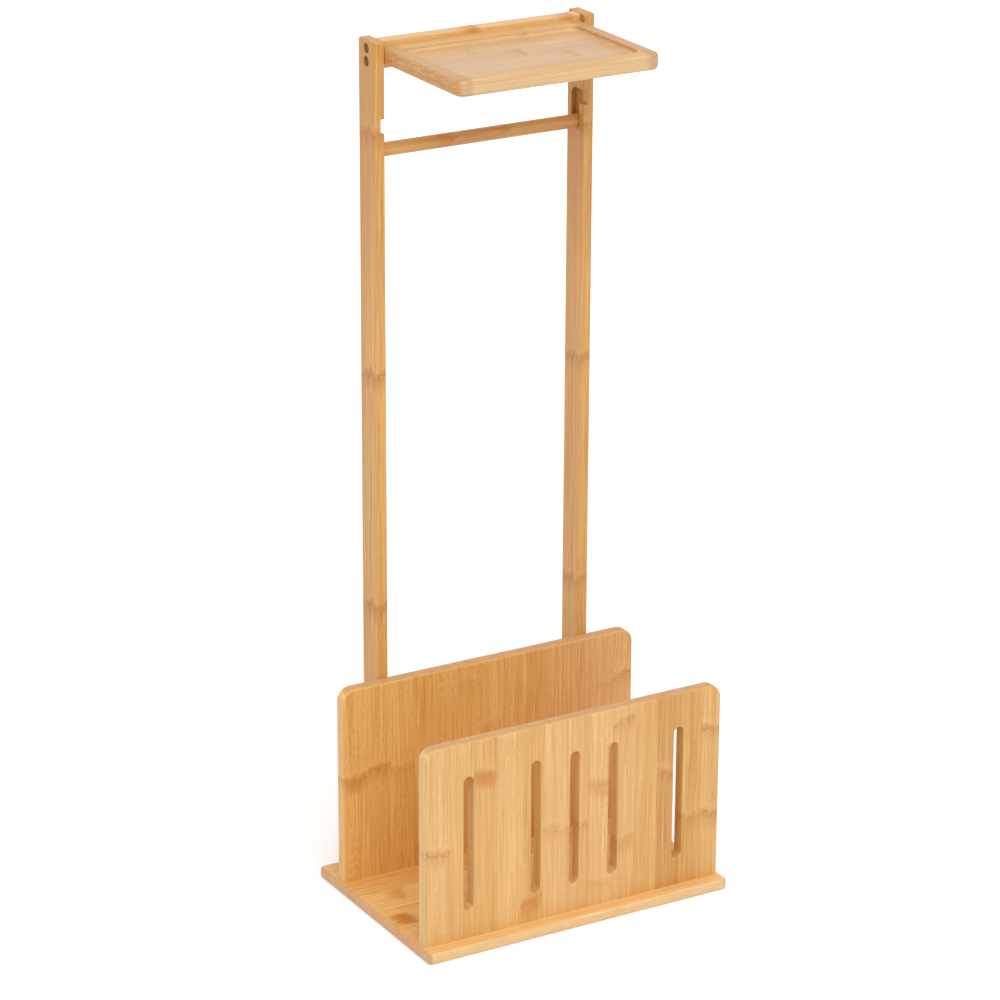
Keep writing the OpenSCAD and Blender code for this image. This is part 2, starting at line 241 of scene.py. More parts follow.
class BambooBoard:  # one board's material, worked out step by step from its look
    def __init__(self, name, look):
        self.look = look
        self.material, self.maker = emptyMaterial(name)
        self.findStrips()
        self.findFaces()
        self.findKnuckles()
        self.layFibres()
        colour = self.fibreColour()
        colour = self.addKnuckles(colour)
        colour = self.addCuts(colour)
        colour = self.addRouting(colour)
        self.lacquer(colour)

    def perStrip(self, rows):  # three numbers for each strip, read off a stepped ramp
        m, span = self.maker, len(rows)
        stops = [(index / span, (*row, 1.0)) for index, row in enumerate(rows)]
        ramp = m.node("ShaderNodeValToRGB", {"rampKind": "CONSTANT", "stops": stops},
                      {0: (self.strip + 0.5) / span})
        split = m.node("ShaderNodeSeparateColor", None, {0: m.wire(ramp)})
        return m.wire(split, 0), m.wire(split, 1), m.wire(split, 2)

    def cloud(self, x, y, z, detail=2.0, roughness=0.55):
        return self.maker.noise(self.maker.vector(x, y, z), 1.0, detail, roughness)

    def stripes(self, kind, detail=2.0, shift=0.0):  # the shift parts two kinds of about the same size
        width, length = fibreFinish[kind]
        return self.cloud(
            (self.across + self.drift) / width + self.seed * fibreFinish["stripeSeed"] + shift,
            self.through / width + shift, self.along / length + self.seed, detail)

    def findStrips(self):  # which strip and ply a point lies in, and how far across its strip
        m, look, size = self.maker, self.look, fibreFinish
        self.parts = m.node("ShaderNodeSeparateXYZ", None, {0: m.objectPlace()})
        self.across = m.wire(self.parts, look["across"])
        self.through = m.wire(self.parts, look["through"])
        self.along = m.wire(self.parts, look["along"])
        step = (self.across - look["firstJoint"]) / look["stripWidth"]
        self.strip = step.floor().atLeast(0).atMost(len(look["strips"]) - 1)
        self.within = step - self.strip
        depth = (self.through - look["plyFace"]) / look["plyThickness"]
        self.skin = depth.fraction()
        self.seed = self.strip * size["stripSeed"] + depth.floor() * size["plySeed"] + look["seed"]
        chance = m.node("ShaderNodeSeparateColor", None, {0: m.wire(m.node(
            "ShaderNodeTexWhiteNoise", {"noise_dimensions": "1D"}, {"W": self.seed}), "Color")})
        self.luck = m.wire(chance, 0)
        self.lean = m.wire(chance, 1)
        self.tone, self.rosiness, self.figure = self.perStrip(look["strips"])

    def findFaces(self):  # 1 on the long edges, and 1 on the sawn ends
        m, look = self.maker, self.look
        facing = m.node("ShaderNodeSeparateXYZ", None,
                        {0: m.wire(m.node("ShaderNodeNewGeometry"), "Normal")})
        self.side = m.wire(facing, look["across"]).size().rise(*fibreFinish["sideEdge"])
        self.tilt = m.wire(facing, look["along"]).size()
        self.sawn = self.tilt.rise(*fibreFinish["sawnEdge"])

    def findKnuckles(self):  # how far above or below its strip's knuckles a point lies
        look, size = self.look, knuckleFinish
        self.wave = self.cloud(self.across * size["waveScale"], self.through * size["waveScale"],
                               self.seed)
        offMiddle = self.within - 0.5
        bend = ((self.wave - 0.5) * size["wave"] + offMiddle * (self.lean - 0.5) * size["slope"]
                + (0.25 - offMiddle.size()) * look["point"])
        self.knuckles = []
        for rows in look["knuckles"]:
            height, lines, patch = self.perStrip(rows)
            away = self.along - height * look["length"] - look["start"] + bend
            if look["period"]:
                away = ((away / look["period"] + 0.5).fraction() - 0.5) * look["period"]
            self.knuckles.append((away, lines, patch))

    def layFibres(self):  # the fibres run straight, and wander where the first knuckle is near
        away, lines, patch = self.knuckles[0]
        nearest = away.bell(knuckleFinish["reach"]) * (lines + patch)
        width, length = fibreFinish["swirl"]
        self.swirl = self.cloud(self.across / width, self.through / width, self.along / length,
                                detail=1.0)
        self.drift = (self.swirl - 0.5) * fibreFinish["swirlReach"] * (nearest + self.look["wander"])
        self.broad = self.stripes("broad")
        self.middle = self.stripes("middle")
        self.fine = self.stripes("fine")
        self.hair = self.stripes("hair", detail=1.0, shift=3.0)
        self.vessel = self.stripes("vessel", detail=1.0, shift=5.0).rise(*fibreFinish["vesselEdge"])

    def fibreColour(self):
        m, look, size = self.maker, self.look, fibreFinish
        warm = self.stripes("middle", detail=3.0, shift=9.0).rise(*size["warmEdge"])
        turns = (self.along / size["archPitch"] + ((self.within - self.lean) ** 2.0) * size["archCurve"]
                 + self.broad * size["archBroad"] + self.swirl * size["archSwirl"])
        arch = m.calc("SINE", turns * math.tau) * self.figure * self.swirl.rise(*size["archEdge"])
        width, length = size["lively"]
        patches = self.cloud(self.across / width + self.seed, self.through / width,
                             self.along / length, detail=1.0)
        lively = patches.rise(*size["livelyEdge"]) * size["livelyRange"] + size["livelyLeast"]
        grain = ((self.middle - 0.5) * size["middleTone"] + (self.fine - 0.5) * size["fineTone"]
                 + (self.hair - 0.5) * size["hairTone"])
        rim = paintedShade = 0.0
        if look["rimFrom"]:
            rim = self.along.size().rise(look["rimFrom"], look["rimFrom"] + size["rimWidth"])
        # painted shade: darker over the look's stretch along the board, less on the long edges
        if look["paintedShade"]:
            paintedShade = self.along.rise(*look["paintedShade"]) * (1.0 - self.side * size["paintedShadeLessOnSide"])
        # painted light and shade: a side tone above 0 paints the long edges paler, below 0 darker
        shade = (self.tone + self.side * look["paintedSideShading"]
                 - rim * size["rimShade"] - paintedShade * look["paintedShadeDepth"]
                 + (self.broad - 0.5) * size["broadTone"] + grain * lively * look["streak"]
                 + arch * look["figure"] + (self.luck - 0.5) * look["luck"]).atLeast(0.0).atMost(1.0)
        rosiness = ((self.rosiness + (self.luck - 0.5) * size["rosyChance"]).atLeast(0.0)
                    * (1.0 - rim * size["rimLessRosy"]))
        colour = m.mixColour(shade, look["deep"], look["pale"])
        colour = m.mixColour(rosiness, colour, look["rosy"], "MULTIPLY")
        colour = m.mixColour(warm * look["warmStripes"], colour, size["warmColour"])
        colour = m.mixColour(self.vessel * size["vesselShare"], colour, size["vesselColour"])
        if look["paintedSideSheen"]:  # painted sheen: the long edges are mixed towards a pale, less yellow colour, as the lacquer's reflection shows them
            colour = m.mixColour(self.side * look["paintedSideSheen"], colour, size["paintedSheenColour"])
        return colour

    def addKnuckles(self, colour):  # broken brown lines, a browner patch below them, specks round them
        m, look, size = self.maker, self.look, knuckleFinish
        strokes = self.cloud(
            self.across * size["strokeScale"], self.through * size["strokeScale"],
            self.along * size["strokeScaleAlong"] + self.wave * size["strokeWave"],
            size["strokeDetail"], size["strokeRoughness"])
        specks = self.cloud(self.across * size["speckScale"], self.through * size["speckScale"],
                            self.along * size["speckScaleAlong"])
        soft = look["softPatches"]
        topStart, topEnd = size["patchTop"]
        topEnd += soft * size["patchSoftness"]
        middleOfStrip = 1.0 - ((self.within - 0.5).size() * 2.0) ** size["patchRounding"] * soft
        striped = self.middle * size["patchStripes"] + size["patchLeast"]
        self.marks = 0.0
        for away, lines, patch in self.knuckles:
            below = away.rise(*size["patchFoot"]) * (1.0 - away.rise(topStart, topEnd)) * middleOfStrip
            colour = m.mixColour(below * patch * striped, colour, look["patchColour"])
            glow = (away - size["glowLift"]).bell(size["glowWidth"])
            colour = m.mixColour(glow * lines * size["glowShare"], colour, look["pale"])
            band = away.bell(size["lineWidth"]) * strokes.rise(*size["strokeEdge"])
            halo = (away + size["haloDrop"]).bell(size["haloWidth"]) * specks.rise(*size["speckEdge"])
            mark = ((band * size["lineShare"] + halo * size["haloShare"])
                    * (lines + patch * size["patchLines"]) * look["knuckleStrength"]).atMost(1.0)
            colour = m.mixColour(mark, colour, size["colour"])
            self.marks = mark + self.marks
        return colour

    def addCuts(self, colour):  # joints between strips, and sawn ends where the cut fibres show
        m, look, size = self.maker, self.look, cutFinish
        self.joint = (self.within - 0.5).size().rise(0.5 - size["jointWidth"] / look["stripWidth"], 0.5)
        colour = m.mixColour(self.joint * size["jointShare"], colour, fibreFinish["vesselColour"])
        scaleAcross, scaleThrough = size["dotScales"]
        dots = m.wire(m.node("ShaderNodeTexVoronoi", None, {
            "Vector": m.vector(self.across * scaleAcross, self.through * scaleThrough, 0.0),
            "Scale": 1.0}))
        scaleAcross, scaleThrough = size["mottleScales"]
        mottle = self.cloud(self.across * scaleAcross + self.seed,
                            self.through * scaleThrough + self.wave * size["mottleWave"], self.seed,
                            detail=3.0)
        mottled = mottle.rise(*size["mottleEdge"]) * size["mottleShare"] + self.skin * size["skinShare"]
        cut = m.mixColour(mottled.atMost(1.0), look["sawn"], look["sawnDark"])
        dotted = (1.0 - dots.rise(*size["dotEdge"])) * (self.skin * size["dotSkin"] + size["dotLeast"])
        cut = m.mixColour(dotted, cut, knuckleFinish["colour"])
        if look["recessEnd"]:  # the walls inside a recess are sanded and stay pale
            low, high = size["recessEdge"]
            outside = self.along.size().rise(look["recessEnd"] + low, look["recessEnd"] + high)
            self.sawn = self.sawn * (outside * (1.0 - size["recessLeast"]) + size["recessLeast"])
        colour = m.mixColour(self.sawn * size["sawnShare"], colour, cut)
        if look["paintedArrisShade"]:  # painted shade: darker where the round of an end begins
            paintedArrisShade = self.tilt.rise(*size["arrisStart"]) * (1.0 - self.tilt.rise(*size["arrisEnd"]))
            colour = m.mixColour(paintedArrisShade * look["paintedArrisShade"], colour, look["sawnDark"])
        return colour

    def addRouting(self, colour):  # slots and grooves are cut after the lacquer and stay dull; their darker colour is painted shade
        m, look = self.maker, self.look
        self.inside = 0.0
        if look["routed"]:
            self.inside = 1.0
            for axis, low, high in zip("XYZ", *look["routed"]):
                spot = m.wire(self.parts, axis)
                between = m.calc("GREATER_THAN", spot, low) * m.calc("LESS_THAN", spot, high)
                self.inside = between * self.inside
            if look["routedWalls"]:
                self.inside = self.inside * self.side
            # painted shade inside the routed box
            colour = m.mixColour(self.inside * look["paintedRoutedShadeShare"], colour, cutFinish["paintedRoutedShade"])
        return colour

    def lacquer(self, colour):
        m, size = self.maker, lacquerFinish
        relief = (self.middle * size["middleRelief"] + self.fine * size["fineRelief"]
                  + self.hair * size["hairRelief"] - self.vessel * size["vesselRelief"]
                  - self.marks * size["knuckleRelief"] - self.joint * size["jointRelief"])
        roughness = (size["roughness"] + (self.fine - 0.5) * size["fineRough"]
                     + self.vessel * size["vesselRough"] + self.marks * size["knuckleRough"]
                     + self.sawn * size["sawnRough"] + self.inside * size["routedRough"])
        m.coverWith(m.node("ShaderNodeBsdfPrincipled", None, {
            "Base Color": colour, "Roughness": roughness,
            "Normal": m.bump(relief, size["reliefDepth"], size["reliefStrength"]),
            "Coat Weight": size["coat"] * (1.0 - self.inside), "Coat Roughness": size["coatRoughness"]}))


# What a board has unless its own look says otherwise. Each strip's row is tone, rosiness and arched
# figure. Each knuckle's row is its height as a share of the board's length, how plain its lines are,
# and how plain the brown patch below them is
noKnuckle = (0.5, 0.0, 0.0)
boardLook = {
    "rosy": srgb(248, 238, 255), "patchColour": srgb(207, 130, 46),
    "wander": 0.12, "streak": 1.0, "figure": 0.10, "luck": 0.06, "warmStripes": 0.14,
    # painted light and shade on the long edges, paler or darker by the side tone, and a painted sheen by the
    # side wash
    "paintedSideShading": 0.0, "paintedSideSheen": 0.0,
    "rimFrom": None,                  # where the ends of the board turn browner, from its middle
    "paintedShade": None, "paintedShadeDepth": 0.0,   # a stretch along the board over which it turns darker, a painted shade
    "point": 0.0, "period": None,     # how pointed knuckles are, and the spacing that they repeat at
    "softPatches": 0.25,              # how far a brown patch fades towards the edges of its strip
    "knuckleStrength": 1.0,
    "paintedArrisShade": 0.0,                     # how dark the rounds of the ends are painted, a painted shade
    "recessEnd": None,                # where a recess ends, from the board's middle
    "routed": None, "paintedRoutedShadeShare": 0.0,   # the box that holds what is routed, by its corners, and how much painted shade it takes
    "routedWalls": False,             # the box takes in faces that aren't routed, which stay as they are
}
panelLow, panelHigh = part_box("front_panel")
panelLook = {
    **boardLook,
    "across": "X", "through": "Y", "along": "Z",
    "stripWidth": 0.0228, "plyThickness": 0.0061,
    "start": panelLow.z, "length": panelHigh.z - panelLow.z,
    # painted light: the panels' side edges and slot walls are painted paler
    "paintedSideShading": 0.22, "softPatches": 0.6,
}
frontPanelLook = {
    **panelLook,
    "pale": srgb(246, 204, 134), "deep": srgb(203, 142, 57),
    "sawn": srgb(220, 172, 118), "sawnDark": srgb(198, 146, 90),
    "firstJoint": -0.1455, "plyFace": -0.0871, "seed": 1.0,
    "knuckleStrength": 1.4, "recessEnd": 0.186,
    # painted shade on the slot walls
    "routed": ((-0.115, -0.088, 0.030), (0.115, -0.074, 0.168)), "paintedRoutedShadeShare": 0.14,
    "routedWalls": True,
    "strips": [(0.65, 0.4, 0.5), (0.53, 0.2, 0.2), (0.48, 0.0, 0.2), (0.69, 0.3, 0.8),
               (0.45, 0.0, 0.2), (0.68, 0.5, 0.4), (0.56, 0.4, 0.3), (0.69, 0.4, 0.8),
               (0.65, 0.4, 0.5), (0.43, 0.0, 0.2), (0.27, 0.6, 0.3), (0.29, 0.1, 0.3),
               (0.54, 0.2, 0.4)],
    "knuckles": [
        [(0.47, 0.8, 0.25), noKnuckle, (0.82, 0.3, 0.80), (0.95, 0.15, 0.1),
         (0.11, 0.2, 0.75), (0.45, 0.5, 0.12), (0.435, 0.6, 0.2), (0.63, 0.3, 0.45),
         (0.92, 0.5, 0.25), noKnuckle, (0.60, 0.7, 0.25), (0.34, 0.5, 0.2),
         (0.335, 0.7, 0.35)],
        [*[noKnuckle] * 7, (0.11, 0.4, 0.1), (0.30, 0.4, 0.35), *[noKnuckle] * 3, (0.78, 0.8, 0.25)],
    ],
}
backPanelLook = {
    **panelLook,
    "pale": srgb(246, 199, 119), "deep": srgb(211, 149, 68),
    "sawn": srgb(222, 172, 118), "sawnDark": srgb(198, 142, 86),
    "firstJoint": -0.1460, "plyFace": 0.0579, "seed": 21.0,
    "wander": 0.6, "streak": 1.25, "warmStripes": 0.42, "figure": 0.17,
    "strips": [(0.60, 0.1, 0.8), (0.56, 0.0, 0.5), (0.52, 0.0, 0.6), (0.44, 0.0, 0.4),
               (0.50, 0.2, 0.9), (0.53, 0.3, 1.0), (0.60, 0.3, 0.7), (0.53, 0.4, 0.5),
               (0.34, 0.3, 0.3), (0.42, 0.6, 0.4), (0.50, 0.7, 0.5), (0.58, 0.7, 0.5),
               (0.62, 0.6, 0.6)],
    "knuckles": [
        [(0.53, 1.0, 0.6), (0.57, 0.9, 0.4), (0.54, 0.6, 0.2), (0.10, 0.3, 0.1), noKnuckle,
         (0.90, 0.3, 0.1), (0.66, 0.4, 0.15), noKnuckle, (0.15, 0.4, 0.2), (0.35, 0.5, 0.2),
         noKnuckle, (0.74, 0.4, 0.12), (0.77, 1.0, 0.25)],
    ],
}
baseLow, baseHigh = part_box("base_board")
baseLook = {
    **boardLook,
    "pale": srgb(247, 211, 141), "deep": srgb(220, 152, 68), "rosy": srgb(248, 236, 255),
    "sawn": srgb(222, 178, 130), "sawnDark": srgb(200, 148, 96),
    "across": "Y", "through": "Z", "along": "X",
    "firstJoint": -0.1076, "stripWidth": 0.0226,
    "plyFace": -0.0001, "plyThickness": 0.0051,
    "start": baseLow.x, "length": baseHigh.x - baseLow.x, "seed": 40.0,
    # the rounds of the base's ends carry painted shade
    "wander": 0.4, "streak": 1.2, "warmStripes": 0.22, "softPatches": 1.0, "paintedArrisShade": 0.75,
    # painted shade and a painted sheen on the base's front and back faces
    "paintedSideShading": -0.06, "paintedSideSheen": 0.15,
    "strips": [(0.70, 0.3, 0.3), (0.64, 0.3, 0.5), (0.68, 0.4, 0.7), (0.54, 0.1, 0.6),
               (0.62, 0.2, 1.0), (0.64, 0.1, 1.0), (0.28, 0.0, 0.3), (0.30, 0.1, 0.4),
               (0.50, 0.2, 0.4), (0.50, 0.2, 0.4)],
    "knuckles": [
        [(0.62, 0.12, 0.1), (0.30, 0.4, 0.2), (0.80, 0.5, 0.2), (0.066, 0.9, 1.0), (0.42, 0.5, 0.2),
         (0.123, 0.7, 0.5), (0.70, 0.4, 0.2), (0.30, 0.4, 0.2), (0.25, 0.5, 0.2), (0.55, 0.5, 0.2)],
        [*[noKnuckle] * 3, (0.060, 0.5, 1.0), *[noKnuckle] * 6],
    ],
}
postLook = {
    **boardLook,
    "pale": srgb(230, 178, 100), "deep": srgb(195, 137, 60), "patchColour": srgb(194, 116, 42),
    "sawn": srgb(222, 168, 112), "sawnDark": srgb(196, 140, 84),
    "across": "Y", "through": "X", "along": "Z",
    "firstJoint": 0.0695, "stripWidth": 0.0093, "plyThickness": 0.0051,
    "start": 0.0, "length": 1.0,      # so a post's knuckles are given in metres
    # painted light: the posts' front and back faces are painted paler
    "luck": 0.20, "streak": 1.9, "warmStripes": 0.42, "paintedSideShading": 0.12, "paintedShade": (0.50, 0.68),
    # the routed share is painted shade in the grooves
    "point": 0.009, "knuckleStrength": 2.1, "softPatches": 0.8, "paintedRoutedShadeShare": 0.45,
}
leftPostLook = {
    **postLook,
    # The posts turn darker towards their tops: partly their own darker tone by the knuckles, partly a painted
    # shadow of the tray
    "plyFace": -0.1061, "seed": 60.0, "period": 0.211, "paintedShadeDepth": 0.44,
    "strips": [(0.60, 0.0, 0.2), (0.46, 0.2, 0.2), (0.36, 0.3, 0.2)],
    "knuckles": [[(0.256, 0.6, 0.7), (0.2565, 0.9, 0.8), (0.255, 0.6, 0.4)]],
    "routed": ((-0.1001, 0.0775, 0.654), (-0.0964, 0.092, 0.692)),
}
rightPostLook = {
    **postLook,
    # The right post is darker at the top than the left: more painted shadow of the tray
    "plyFace": 0.0959, "seed": 75.0, "period": 0.208, "paintedShadeDepth": 0.70,
    "strips": [(0.50, 0.1, 0.2), (0.44, 0.2, 0.2), (0.44, 0.4, 0.2)],
    "knuckles": [[(0.242, 0.6, 0.3), (0.244, 0.8, 0.45), (0.241, 0.6, 0.4)]],
    "routed": ((0.0964, 0.0775, 0.654), (0.1001, 0.092, 0.692)),
}
railLow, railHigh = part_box("top_rail")
railLook = {
    **boardLook,
    "pale": srgb(240, 200, 131), "deep": srgb(206, 153, 83),
    "sawn": srgb(214, 164, 108), "sawnDark": srgb(190, 136, 82),
    "across": "Z", "through": "Y", "along": "X",
    "firstJoint": railLow.z - 0.0045, "stripWidth": 0.0120,
    "plyFace": railLow.y - 0.0001, "plyThickness": 0.0061,
    "start": railLow.x, "length": railHigh.x - railLow.x, "seed": 90.0,
    # painted shade and a painted sheen on the rail's top and bottom
    "paintedSideShading": -0.25, "paintedSideSheen": 0.15,
    "strips": [(0.66, 0.1, 0.2), (0.76, 0.2, 0.3), (0.66, 0.1, 0.3)],
    "knuckles": [[(0.30, 0.4, 0.2), (0.70, 0.5, 0.2), (0.47, 1.0, 0.8)],
                 [noKnuckle, noKnuckle, (0.95, 0.8, 0.6)]],
}
trayLow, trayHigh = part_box("tray")
trayLook = {
    **boardLook,
    "pale": srgb(232, 191, 133), "deep": srgb(199, 150, 91), "rosy": srgb(246, 247, 280),
    "sawn": srgb(222, 168, 104), "sawnDark": srgb(184, 122, 62),
    "across": "Y", "through": "Z", "along": "X",
    "firstJoint": trayLow.y - 0.0060, "stripWidth": 0.0232,
    "plyFace": trayLow.z - 0.0001, "plyThickness": 0.0071,
    "start": trayLow.x, "length": trayHigh.x - trayLow.x, "seed": 110.0,
    "streak": 1.3, "warmStripes": 0.4, "knuckleStrength": 1.4,
    # painted light: the tray's front edge and recess walls are painted paler, with a painted sheen
    "paintedSideShading": 0.15, "paintedSideSheen": 0.12, "recessEnd": 0.0837, "rimFrom": 0.080,
    "strips": [(0.49, 0.0, 0.3), (0.64, 0.9, 0.3), (0.60, 0.9, 0.4), (0.60, 1.0, 0.4),
               (0.60, 0.5, 0.3), (0.52, 0.1, 0.3)],
    "knuckles": [[(0.55, 0.05, 0.0), (0.22, 0.3, 0.1), (0.72, 0.7, 0.10), (0.53, 1.0, 0.12),
                  (0.35, 0.4, 0.1), (0.68, 0.4, 0.1)]],
}
barLow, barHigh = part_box("roll_bar")
barLook = {
    **boardLook,
    "pale": srgb(226, 173, 103), "deep": srgb(188, 129, 62),
    "sawn": srgb(206, 156, 104), "sawnDark": srgb(180, 124, 74),
    "across": "Z", "through": "Y", "along": "X",
    "firstJoint": barLow.z - 0.001, "stripWidth": 0.0050,
    "plyFace": barLow.y - 0.0001, "plyThickness": 0.0062,
    "start": barLow.x, "length": barHigh.x - barLow.x, "seed": 130.0,
    # painted light on the bar's left end, which stays paler, and painted shade over the rest of the bar
    "luck": 0.25, "streak": 1.6, "warmStripes": 0.3, "paintedShade": (-0.075, -0.030), "paintedShadeDepth": 0.36,
    # painted light and shade: the strips are paler towards the top of the bar and darker under it
    "strips": [(0.82, 0.2, 0.2), (0.94, 0.2, 0.2), (1.0, 0.1, 0.2)],
    "knuckles": [[(0.62, 0.5, 0.3), (0.62, 0.6, 0.3), (0.62, 0.5, 0.3)],
                 [(0.35, 0.4, 0.6), (0.36, 0.6, 0.7), (0.34, 0.4, 0.6)]],
}

for nodeName, look in {
        "base_board": baseLook, "front_panel": frontPanelLook, "back_panel": backPanelLook,
        "left_post": leftPostLook, "right_post": rightPostLook, "top_rail": railLook,
        "tray": trayLook, "roll_bar": barLook}.items():
    slots = nodes[nodeName].data.materials
    slots.clear()
    slots.append(BambooBoard("bamboo_" + nodeName, look).material)
print("bamboo boards dressed")

steelFinish = {
    "dark": srgb(84, 70, 50), "bright": srgb(150, 130, 98), "cloudScale": 900.0,
    "roughness": 0.26, "roughRange": 0.18,
    "grainScale": 5200.0, "grainDepth": 0.00003, "grainStrength": 0.3,
}
beechFinish = {
    "dark": srgb(206, 170, 126), "pale": srgb(226, 194, 152), "cloudScale": 260.0,
    "fleckColour": srgb(160, 112, 70), "fleckScale": 1400.0, "fleckEdge": (0.58, 0.7), "fleckShare": 0.5,
    "roughness": 0.62, "roughRange": 0.2, "fleckDepth": 0.00006, "fleckStrength": 0.4,
}


def screwSteel():
    look = steelFinish
    material, m = emptyMaterial("screw_steel_zinc")
    place = m.objectPlace()
    cloud = m.noise(place, look["cloudScale"], detail=3.0)
    grain = m.noise(place, look["grainScale"], detail=2.0)
    m.coverWith(m.node("ShaderNodeBsdfPrincipled", None, {
        "Base Color": m.mixColour(cloud, look["dark"], look["bright"]), "Metallic": 1.0,
        "Roughness": look["roughness"] + cloud * look["roughRange"],
        "Normal": m.bump(grain, look["grainDepth"], look["grainStrength"])}))
    return material


def beechWood():
    look = beechFinish
    material, m = emptyMaterial("dowel_beech")
    place = m.objectPlace()
    fleck = m.noise(place, look["fleckScale"], detail=3.0)
    cloud = m.noise(place, look["cloudScale"], detail=2.0)
    colour = m.mixColour(cloud, look["dark"], look["pale"])
    colour = m.mixColour(fleck.rise(*look["fleckEdge"]) * look["fleckShare"], colour, look["fleckColour"])
    m.coverWith(m.node("ShaderNodeBsdfPrincipled", None, {
        "Base Color": colour, "Roughness": look["roughness"] + fleck * look["roughRange"],
        "Normal": m.bump(fleck, look["fleckDepth"], look["fleckStrength"])}))
    return material


# Screws: one threaded screw with a hexagon socket, pointing up from its head
screwSizes = {
    "length": 0.030, "headRadius": 0.0040, "headRim": 0.0004, "headDepth": 0.0024,
    "neckRadius": 0.00175, "coreRadius": 0.00140, "crestRadius": 0.0020,
    "pitch": 0.0018, "threadFrom": 0.0085, "threadFlank": 0.24, "tipLength": 0.0045,
    "socketWidth": 0.0030, "socketDepth": 0.0020, "socketCone": 0.0003, "bevel": 0.00012,
    "sides": 24, "ringsPerTurn": 8,
}


def screwRings():  # each ring is its depth below the head's face, and its radius at an angle
    size = screwSizes
    sector = math.tau / 6
    rim, neck, bevel = size["headRadius"], size["neckRadius"], size["bevel"]

    def hexagon(angle):
        return size["socketWidth"] / 2 / math.cos(angle % sector - sector / 2)

    def thread(depth):
        taper = min(1.0, (size["length"] - depth) / size["tipLength"])
        runIn = min(1.0, (depth - size["threadFrom"]) / size["pitch"])

        def radius(angle):
            turn = (depth / size["pitch"] - angle / math.tau) % 1.0
            ridge = max(0.0, 1.0 - abs(turn - 0.5) / size["threadFlank"])
            return (size["coreRadius"] + (size["crestRadius"] - size["coreRadius"]) * ridge * runIn) * taper
        return radius

    rings = [
        (size["socketDepth"], hexagon), (bevel, hexagon),
        (0.0, lambda angle: hexagon(angle) + bevel), (0.0, lambda angle: rim - bevel),
        (bevel, lambda angle: rim), (size["headRim"], lambda angle: rim),
        (size["headDepth"], lambda angle: neck), (size["threadFrom"], lambda angle: neck),
    ]
    step = size["pitch"] / size["ringsPerTurn"]
    depth = size["threadFrom"] + step
    while depth < size["length"] - step:
        rings.append((depth, thread(depth)))
        depth += step
    return rings


def screwBlank():
    sides = screwSizes["sides"]
    mesh = bmesh.new()
    loops = []
    for depth, radius in screwRings():
        loop = []
        for side in range(sides):
            angle = math.tau * side / sides
            reach = radius(angle)
            loop.append(mesh.verts.new((reach * math.cos(angle), reach * math.sin(angle), depth)))
        loops.append(loop)
    for inner, outer in zip(loops, loops[1:]):
        for side in range(sides):
            following = (side + 1) % sides
            mesh.faces.new((inner[side], inner[following], outer[following], outer[side]))
    tip = mesh.verts.new((0, 0, screwSizes["length"]))
    pit = mesh.verts.new((0, 0, screwSizes["socketDepth"] + screwSizes["socketCone"]))
    for side in range(sides):
        following = (side + 1) % sides
        mesh.faces.new((loops[-1][side], loops[-1][following], tip))
        mesh.faces.new((loops[0][following], loops[0][side], pit))
    bmesh.ops.recalc_face_normals(mesh, faces=mesh.faces)
    data = bpy.data.meshes.new("screw_blank")
    mesh.to_mesh(data)
    mesh.free()
    return bpy.data.objects.new("screw_blank", data)


# Dowels: the first five are inputs of the tree that makes them
dowelSizes = {
    "Length": 0.020, "Radius": 0.0030, "Chamfer": 0.0008, "Flutes": 16, "Flute depth": 0.00025,
    "fluteSharpness": 3.0, "sidesAround": 96, "stepsAlong": 25,
}


def addInputs(face, inputs):  # named inputs of a tree, by label and kind
    for label, kind in inputs.items():
        face.new_socket(label, in_out="INPUT", socket_type="NodeSocket" + kind)


def fillScrew(g, face, given):
    addInputs(face, {"Screw": "Object"})
    return g.wire(g.node("GeometryNodeObjectInfo", None, {"Object": g.wire(given, "Screw")}), "Geometry")


def fillDowel(g, face, given):  # a fluted pin with chamfered ends, standing on z = 0
    addInputs(face, {"Length": "Float", "Radius": "Float", "Chamfer": "Float", "Flutes": "Int",
                     "Flute depth": "Float"})
    length = g.wire(given, "Length")
    radius = g.wire(given, "Radius")
    pin = g.node("GeometryNodeMeshCylinder", {"fill_type": "TRIANGLE_FAN"}, {
        "Vertices": dowelSizes["sidesAround"], "Side Segments": dowelSizes["stepsAlong"],
        "Radius": radius, "Depth": length})
    spot = g.node("ShaderNodeSeparateXYZ", None, {0: g.wire(g.node("GeometryNodeInputPosition"))})
    x, y, z = g.wire(spot, "X"), g.wire(spot, "Y"), g.wire(spot, "Z")
    ripple = g.calc("COSINE", g.calc("ARCTAN2", y, x) * g.wire(given, "Flutes"))
    flute = (ripple * 0.5 + 0.5) ** dowelSizes["fluteSharpness"]
    inset = (z.size() - length / 2 + g.wire(given, "Chamfer")).atLeast(0.0)
    scale = 1.0 - (flute * g.wire(given, "Flute depth") + inset) / radius
    shaped = g.node("GeometryNodeSetPosition", None, {
        "Geometry": g.wire(pin, "Mesh"), "Position": g.vector(x * scale, y * scale, z + length / 2)})
    return g.wire(shaped)


